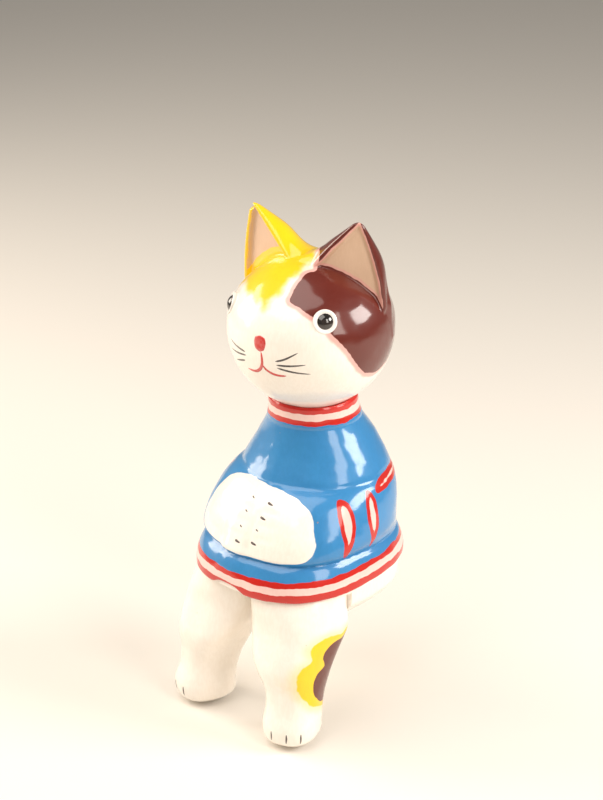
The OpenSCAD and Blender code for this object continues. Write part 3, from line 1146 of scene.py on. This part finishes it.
@dataclass
class Leg:
    """A hanging leg, flat behind where it lies against the shelf. Sizes in mm."""

    torso: Torso
    side: Side
    length: float = 55.0
    thigh_w: float = 41.0
    ankle_w: float = 24.0
    ankle_depth: float = 23.0
    foot_l: float = 28.0
    spread: float = 7.0
    swing: float = 6.0
    splay: float = 20.0
    gap: float = 0.5
    core_x: float = 22.0
    core_y: float = -40.0
    unpainted: float = 60.0
    around: int = 176

    def keys(self) -> Points:
        """Key rings from the sole up: share, middle x and y, half-sizes, squareness, turn.

        Returns:
            All the rings.
        """
        t = self.torso
        x = self.thigh_w / 2
        depth = t.hem_front - t.hem_lip - t.notch_front + 6
        y = depth / 2 + t.hem_lip - t.hem_front + 1.5
        fx, fy = x + self.spread, -t.notch_front - depth / 3 - self.swing - 5
        aw, ad, fl = self.ankle_w / 2, self.ankle_depth / 2, self.foot_l / 2
        return fill_rows((
            (0.000, fx, fy, aw - 2.5, fl - 3, 2.4, self.splay),
            (0.040, fx, fy, aw, fl - 0.5, 2.4, self.splay),
            (0.130, fx, fy, aw + 0.6, fl, 2.3, self.splay),
            (0.240, fx - 0.7, fy + 2.0, aw + 0.4, ad + 1.6, 2.3, self.splay),
            (0.360, fx - 1.5, fy + 3.6, aw + 1.1, ad + 2.8, 2.4, self.splay * 0.7),
            (0.550, x + self.spread * 0.45, fy + 5.6, aw + 4.2, ad + 6.2, 2.7, 0),
            (0.750, x + self.spread * 0.12, y, x - 0.8, depth / 2 - 0.3, 2.8, 0),
            (0.900, x, y, x, depth / 2, 2.5, 0),
            (1.000, x, y, x, depth / 2, 2.5, 0),
        ), 15)

    def build(self) -> Piece:
        """Wraps the leg and stores the distances of its painted patch.

        Returns:
            The leg.
        """
        t = self.torso
        keys = self.keys()
        sole = [0.0, 0.35, 0.7, 0.9]
        top = [0.9, 0.6, 0.3, 0.0]
        plan = [(keys[0], f) for f in sole] + [(k, 1.0) for k in keys] + [(keys[-1], f) for f in top]

        def place(a: Points, row: Points) -> Points:
            """Puts each vertex of the grid on the leg.

            Args:
                a: Angle from the front, in radians.
                row: Number of each vertex's row.

            Returns:
                The points in mm.
            """
            out = np.zeros((len(a), 3))
            for i, (k, f) in enumerate(plan):
                at = row == i
                b = a[at]
                r = bow(b, k[3], k[4], k[5]) * f
                turn = b + math.radians(k[6])
                x, y = k[1] + r * np.sin(turn), k[2] - r * np.cos(turn)
                spare = 30 * (1 - k[0]) - t.hem_lip
                across = np.abs(x) / (t.hem_w / 2 + spare)
                along = np.abs(y - t.mid) / (t.depth + spare)
                over = (across**2.5 + along**2.5) ** 0.4
                shrink = (1 + over**26) ** (-1 / 26)
                x = np.maximum(x * shrink, 0.01)
                y = t.mid + (y - t.mid) * shrink
                z = -self.length + k[0] * (self.length + t.hem_low)
                y = np.minimum(y, -t.notch_front - (self.gap if z < 0 else 0.03))
                out[at] = np.stack([self.gap / 2 + x, y, np.full_like(x, z)], axis=1)
            return out

        piece = wrap(f"{self.side.name.lower()}_leg_carved", self.around, len(plan) - 1, place)
        close_up(piece, 0.02)
        p = points_of(piece)
        core = np.stack([np.full(len(p), self.core_x), np.full(len(p), self.core_y), p[:, 2]], axis=1)
        out = p - core
        out /= np.maximum(np.linalg.norm(out, axis=1), 1e-6)[:, None]
        free = smooth_step(-t.notch_front - self.gap - p[:, 1], 0.3, 4) * smooth_step(p[:, 0], 0.6, 4)
        free *= 1 - smooth_step(p[:, 2], 6, 11)
        knife = knife_marks(p, (0.12, 19, 3.0 + self.side.value), (0.06, 8, 5.0)) * free
        p = p + out * knife[:, None]
        self.store(piece, p)
        p[:, 0] *= self.side.value
        move_points(piece, p)
        close_up(piece, 0.001)
        bpy.ops.object.shade_smooth_by_angle(angle=math.radians(55))
        return piece

    def store(self, piece: Piece, p: Points) -> None:
        """Stores the distances of the petalled patch on the outside of the left leg.

        Args:
            piece: The leg.
            p: Its points, as on the left leg.
        """
        t = self.torso
        yellow = ((-20, -8), (-28, -6), (-36, -4.5), (-42, -5.5), (-45.5, -9), (-45, -13.5), (-50, -16),
                  (-52.5, -22), (-50.5, -29), (-46, -35), (-40, -38), (-33, -40), (-20, -38))
        brown = ((-20, -9.5), (-28, -8.5), (-34.5, -9), (-39, -13), (-37.5, -18.5), (-42.5, -21),
                 (-44.6, -26.5), (-42.5, -33), (-36, -37.5), (-28, -37), (-20, -34))
        side = p[:, 1:3]
        behind = smooth_step(p[:, 1], -t.notch_front - 15, -t.notch_front - 6)
        off = self.unpainted * (1 - smooth_step(p[:, 0], 22 + 9 * behind, 27 + 9 * behind))
        if self.side is Side.RIGHT:
            off = off + self.unpainted
        mark(piece, "petal_yellow", outline_distance(side, yellow) + off)
        mark(piece, "petal_brown", outline_distance(side, brown) + off)


# ---------------------------------------------------------------- strokes and eyes


@dataclass
class Stroke:
    """A brush stroke of thick enamel: a low, tapering ridge that lies on the surface. In mm."""

    name: str
    path: list
    width: float
    height: float = 0.22
    taper: float = 1.0
    head_width: float = 0.5

    def build(self, surface: Piece) -> Piece:
        """Lays the stroke on a surface.

        Args:
            surface: The carved piece that it is painted on.

        Returns:
            The stroke.
        """
        line = fill_rows(self.path, 8)
        step = np.linalg.norm(np.diff(line, axis=0), axis=1)
        run = np.concatenate([[0], np.cumsum(step)]) / max(step.sum(), 1e-9)
        rows = max(12, int(step.sum() / 0.35))
        t = np.linspace(0, 1, rows + 1)
        mid = np.stack([np.interp(t, run, line[:, i]) for i in range(3)], axis=1)
        piece = new_piece(self.name, bpy.ops.mesh.primitive_grid_add,
                          x_subdivisions=8, y_subdivisions=rows, size=2)
        p = points_of(piece) * MM
        col = p[:, 0]
        row = np.rint((p[:, 1] + 1) / 2 * rows).astype(int)

        def land(spot: np.ndarray) -> tuple[np.ndarray, np.ndarray]:
            """The nearest place on the surface, in mm, and the way it faces."""
            _, at, way, _ = surface.closest_point_on_mesh(Vector(spot * MM))
            return np.array(at) / MM, np.array(way)

        place, normal = (np.array(part) for part in zip(*[land(spot) for spot in mid]))
        normal = (normal + np.roll(normal, 1, 0) + np.roll(normal, -1, 0))
        normal[0], normal[-1] = normal[1], normal[-2]
        normal /= np.linalg.norm(normal, axis=1)[:, None]
        ahead = np.gradient(place, axis=0)
        across = np.cross(ahead, normal)
        across /= np.maximum(np.linalg.norm(across, axis=1), 1e-9)[:, None]
        # the tips stay a hair wide, so that the ridge is a closed solid
        start = np.sqrt(np.clip(t / 0.10, 0.02, 1))
        end = np.sqrt(np.clip((1 - t) / 0.12, 0.02, 1))
        swell = start * end * (self.head_width + (1 - self.head_width) * np.sin(math.pi * t**self.taper))
        half = self.width / 2 * swell
        crown = self.height * np.minimum(1, swell + 0.15)
        lift = crown[row] * np.sqrt(np.clip(1 - col**2, 0, 1)) - 0.06
        spot = place[row] + across[row] * (half[row] * col)[:, None]
        landed = np.array([land(one)[0] for one in spot])
        move_points(piece, landed + normal[row] * lift[:, None])
        wall = piece.modifiers.new("wall", "SOLIDIFY")
        wall.thickness = 0.25 * MM
        wall.offset = -1.0
        apply_modifiers(piece)
        self.face_out(piece)
        bpy.ops.object.shade_smooth()
        return piece

    @staticmethod
    def face_out(piece: Piece) -> None:
        """Turns the faces of a closed piece outwards, by the sign of its volume.

        Args:
            piece: The piece.
        """
        p = points_of(piece)
        piece.data.calc_loop_triangles()
        corners = np.array([triangle.vertices[:] for triangle in piece.data.loop_triangles])
        a, b, c = p[corners[:, 0]], p[corners[:, 1]], p[corners[:, 2]]
        if np.sum(a * np.cross(b, c)) < 0:
            piece.data.flip_normals()


@dataclass
class Eye:
    """An eye: a white disc let into the face and a domed black bead on it. In mm."""

    head: Head
    side: Side
    turn: float
    lift: float = 25.0
    white_d: float = 10.5
    pupil_d: float = 6.8
    proud: float = 0.5
    dome: float = 1.4

    def turned(self, name: str, profile: Sequence[Pair]) -> Piece:
        """Turns a profile of radius and height about the eye's own axis and seats it in the face.

        Args:
            name: The piece's name.
            profile: Radius and height above the ball, from the axis out and round.

        Returns:
            The piece.
        """
        rows = len(profile) - 1
        prof = np.array(profile, float)
        spot = self.head.on_ball(self.turn, self.lift)
        seat = self.head.radius - float(self.head.ball(spot[None, :])[0])
        n = spot / self.head.radius
        east, north = compass(n)

        def place(a: Points, row: Points) -> Points:
            """Puts each vertex on the turned shape, facing out of the head.

            Args:
                a: Angle round the eye's axis, in radians.
                row: Number of each vertex's row.

            Returns:
                The points in mm.
            """
            r, h = prof[row, 0], prof[row, 1]
            q = (n * (seat + h)[:, None] + east * (r * np.cos(a))[:, None]
                 + north * (r * np.sin(a))[:, None])
            return self.head.to_world(q)

        piece = wrap(name, 64, rows, place)
        close_up(piece, 0.002)
        bpy.ops.object.shade_smooth_by_angle(angle=math.radians(40))
        return piece

    def build(self) -> tuple[Piece, Piece]:
        """Makes the white and the pupil.

        Returns:
            The white disc and the black bead.
        """
        w, q, top = self.white_d / 2, self.pupil_d / 2, self.proud
        name = self.side.name.lower()
        edge = [(w - 0.45 + 0.45 * math.sin(t), top - 0.45 + 0.45 * math.cos(t))
                for t in np.linspace(0, math.pi / 2, 7)]
        white = [(0, -1.4), (q, -1.4), (q, top - 0.1), (q + 0.12, top)] + edge + [(w, -1), (w, -3), (0, -3)]
        ball = (q**2 + self.dome**2) / (2 * self.dome)
        reach = math.asin(q / ball)
        dome = [(ball * math.sin(t), top + self.dome - ball + ball * math.cos(t))
                for t in np.linspace(0, reach, 16)]
        pupil = dome + [(q, top - 0.4), (q, -1.3), (0, -1.3)]
        return self.turned(f"{name}_eye_disc", white), self.turned(f"{name}_bead", pupil)


# ---------------------------------------------------------------- the studio


@dataclass
class Studio:
    """Pale floor, soft boxes and the camera. Sizes in metres."""

    turn: float = math.radians(43)
    tilt: float = math.radians(22.5)
    distance: float = 0.893
    aim: Triple = (0.0, 0.0, 0.091)
    across: float = 0.00647
    up: float = 0.00447
    floor_z: float = -0.0575

    def axes(self) -> tuple[Vector, Vector, Vector]:
        """The camera's right, up and backward directions.

        Returns:
            The three directions.
        """
        back = Vector((math.sin(self.turn) * math.cos(self.tilt), -math.cos(self.turn) * math.cos(self.tilt),
                       math.sin(self.tilt)))
        right = Vector((math.cos(self.turn), math.sin(self.turn), 0))
        return right, back.cross(right), back

    def camera(self) -> None:
        """Sets the camera: a long lens looking down at the cat's left front."""
        right, up, back = self.axes()
        place = Vector(self.aim) + back * self.distance - right * self.across - up * self.up
        data = bpy.data.cameras.new("camera")
        data.sensor_fit = "VERTICAL"
        data.sensor_height = 32.0
        data.lens = 80.0
        data.clip_start = 0.01
        eye = bpy.data.objects.new("camera", data)
        eye.location = place
        eye.rotation_euler = back.to_track_quat("Z", "Y").to_euler()
        bpy.context.collection.objects.link(eye)
        bpy.context.scene.camera = eye

    def softbox(self, name: str, place: Triple, size: Pair, power: float, colour: str) -> None:
        """Adds a softbox that faces the cat.

        Args:
            name: The light's name.
            place: Where it hangs.
            size: Width and height.
            power: In watts.
            colour: sRGB hex.
        """
        data = bpy.data.lights.new(name, "AREA")
        data.shape = "RECTANGLE"
        data.size, data.size_y = size
        data.energy = power
        data.color = paint(colour)[:3]
        light = bpy.data.objects.new(name, data)
        light.location = place
        toward = Vector(place) - Vector((0, -0.01, 0.06))
        light.rotation_euler = toward.to_track_quat("Z", "Y").to_euler()
        bpy.context.collection.objects.link(light)

    def floor(self) -> None:
        """Lays the flat, pale floor that the cat hangs just above."""
        floor = new_piece("floor", bpy.ops.mesh.primitive_plane_add, size=12, location=(0, 0, self.floor_z))
        settle(floor)
        material = bpy.data.materials.new("pale_paper")
        material.use_nodes = True
        shader = material.node_tree.nodes["Principled BSDF"]
        shader.inputs["Base Color"].default_value = paint("e9e4dc")
        shader.inputs["Roughness"].default_value = 0.8
        floor.data.materials.append(material)

    def build(self) -> None:
        """Sets up the camera, lights, world and floor."""
        self.camera()
        self.floor()
        self.softbox("key", (-0.88, -0.38, 0.46), (0.55, 0.55), 7.6, "fff2e2")
        self.softbox("side", (0.85, -0.15, 0.55), (0.30, 0.6), 3.4, "fff6ec")
        self.softbox("window", (0.72, 0.44, 0.56), (0.46, 0.36), 7, "fffaf4")
        self.softbox("top", (-0.1, -0.45, 0.95), (0.9, 0.9), 7.5, "fff8f0")
        world = bpy.data.worlds.new("studio")
        world.use_nodes = True
        bpy.context.scene.view_settings.view_transform = "Standard"
        sky = world.node_tree.nodes["Background"]
        sky.inputs["Color"].default_value = paint("f2ede6")
        sky.inputs["Strength"].default_value = 0.30
        bpy.context.scene.world = world


# ---------------------------------------------------------------- putting it together


@dataclass
class Cat:
    """The whole figure."""

    torso: Torso = field(default_factory=Torso)

    def add_piece(self, piece: Piece, material: Material,
                  node: Optional[str] = None) -> None:
        """Dresses a piece and ties it to the frame.

        Args:
            piece: The piece.
            material: Its finish.
            node: The CAD node that it stands for, if any.
        """
        piece.data.materials.clear()
        piece.data.materials.append(material)
        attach(piece, "root")
        if node:
            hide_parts(node)
        LOG.info("%s: %d faces", piece.name, len(piece.data.polygons))

    def carved(self) -> tuple[Piece, Piece, list[Piece], Head]:
        """Makes the torso, head and legs.

        Returns:
            The torso, the head, the legs and the head's shape.
        """
        body = self.torso.build()
        self.add_piece(body, SweaterPaint("gloss_enamel_sweater").material(), "torso")
        shape = Head(self.torso)
        head = shape.build()
        self.add_piece(head, HeadPaint("gloss_enamel_head").material(), "head")
        coat = LegPaint("gloss_enamel_legs").material()
        legs = []
        for side in Side:
            leg = Leg(self.torso, side).build()
            self.add_piece(leg, coat, f"{side.name.lower()}_leg")
            legs.append(leg)
        return body, head, legs, shape

    def face(self, head: Piece, shape: Head) -> None:
        """Paints the nose, mouth and whiskers and sets the eyes.

        Args:
            head: The carved head.
            shape: Its shape.
        """
        red = PlainEnamel("gloss_enamel_red", colour="ca1a06").material()
        dark = PlainEnamel("gloss_enamel_umber", colour="2b1d19").material()

        def path(*spots: Pair) -> list:
            """Points on the face, from turn and lift in degrees."""
            return [tuple(shape.to_world(shape.on_ball(t, l, 0.1)[None, :])[0]) for t, l in spots]

        strokes = [
            (Stroke("nose", path((-0.3, 14.6), (-0.4, 11), (-0.5, 7), (-0.5, 3.6)),
                    6.6, 0.4, 0.85, 0.6), red),
            (Stroke("mouth_stem", path((0.6, 4.0), (1.0, -1), (0.4, -6), (-2.5, -10.5), (-7.5, -13.2),
                                       (-15, -13.2)), 1.6, 0.25, 1.0, 0.6), red),
            (Stroke("mouth_curl", path((0.6, -5.5), (3.0, -9), (7.5, -11.6), (12.5, -12.6), (18, -12.2)),
                    1.5, 0.25, 1.0, 0.55), red),
        ]
        whiskers = (
            ((11.0, -1.6), (18, 0.6), (27.6, 5.6)), ((11.5, -4.2), (21, -4.2), (32.4, -3.2)),
            ((11.6, -6.2), (22, -8.6), (35.2, -10.6)), ((-14.4, -0.6), (-24, 0.2), (-34.4, 2.2)),
            ((-13.8, -2.8), (-24, -4.4), (-35, -5.2)), ((-15.8, -7.2), (-22, -9.4), (-29.4, -11.8)),
        )
        for i, spots in enumerate(whiskers):
            strokes.append((Stroke(f"whisker_{i + 1}", path(*spots), 1.05, 0.2, 0.6, 0.45), dark))
        for stroke, material in strokes:
            self.add_piece(stroke.build(head), material)
        white = PlainEnamel("gloss_enamel_white", colour="f4efe8").material()
        black = BlackBead("polished_black_acrylic").material()
        for side, turn, lift in ((Side.LEFT, 48.0, 25.0), (Side.RIGHT, -51.5, 21.5)):
            disc, bead = Eye(shape, side, turn, lift).build()
            name = side.name.lower()
            self.add_piece(disc, white, f"{name}_eye_white")
            self.add_piece(bead, black, f"{name}_pupil")

    def claws(self, body: Piece, legs: list[Piece]) -> None:
        """Paints the dashes between the fingers and the lines between the toes.

        Args:
            body: The torso.
            legs: The left and the right leg.
        """
        dark = PlainEnamel("gloss_enamel_claws", colour="3b2a26").material()

        def on_paws(x: float, z: float) -> tuple:
            """The point of the paws straight ahead of a place inside them."""
            start = Vector((x * MM, -0.09, z * MM))
            return tuple(np.array(body.ray_cast(start, Vector((0, 1, 0)))[1]) / MM)

        bold = ((8.8, 51.0), (8.4, 45.4), (8.2, 35.2), (0.2, 34.4))
        faint = ((-0.8, 51.6), (-1.0, 46.4), (-0.6, 40.4), (7.8, 40.6))
        for i, (x, z) in enumerate(bold + faint):
            reach = 1.6 if (x, z) in bold else 0.8
            spots = [on_paws(x - reach, z + 0.35), on_paws(x, z), on_paws(x + reach, z - 0.25)]
            stroke = Stroke(f"claw_{i + 1}", spots, 1.25 if (x, z) in bold else 0.7, 0.2, 0.6, 0.5)
            self.add_piece(stroke.build(body), dark)
        for leg, side in zip(legs, Side):
            for i, turn in enumerate((2.0, 33.0, 62.0)):
                a = math.radians(turn)
                x, y = 27.7 + 17 * math.sin(a), -46 - 17 * math.cos(a)
                x = side.value * x
                spots = [(x, y, -46.6), (x, y, -49.5), (x * 0.99, y, -53.2)]
                stroke = Stroke(f"{side.name.lower()}_toe_{i + 1}", spots, 0.9, 0.2, 0.9, 0.4)
                self.add_piece(stroke.build(leg), dark)

    def dowels(self) -> None:
        """Dresses the CAD dowels, which the carved pieces hide."""
        beech = BareBeech("turned_beech").material()
        for name in ("neck_dowel", "left_leg_dowel", "right_leg_dowel"):
            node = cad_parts[name]
            for slot in node.material_slots:
                slot.material = beech

    def build(self) -> None:
        """Makes every piece."""
        body, head, legs, shape = self.carved()
        self.face(head, shape)
        self.claws(body, legs)
        self.dowels()


def main() -> None:
    """Builds the studio and the cat."""
    logging.basicConfig(level=logging.INFO, format="%(name)s: %(message)s")
    Studio().build()
    Cat().build()


if __name__ == "__main__":
    main()
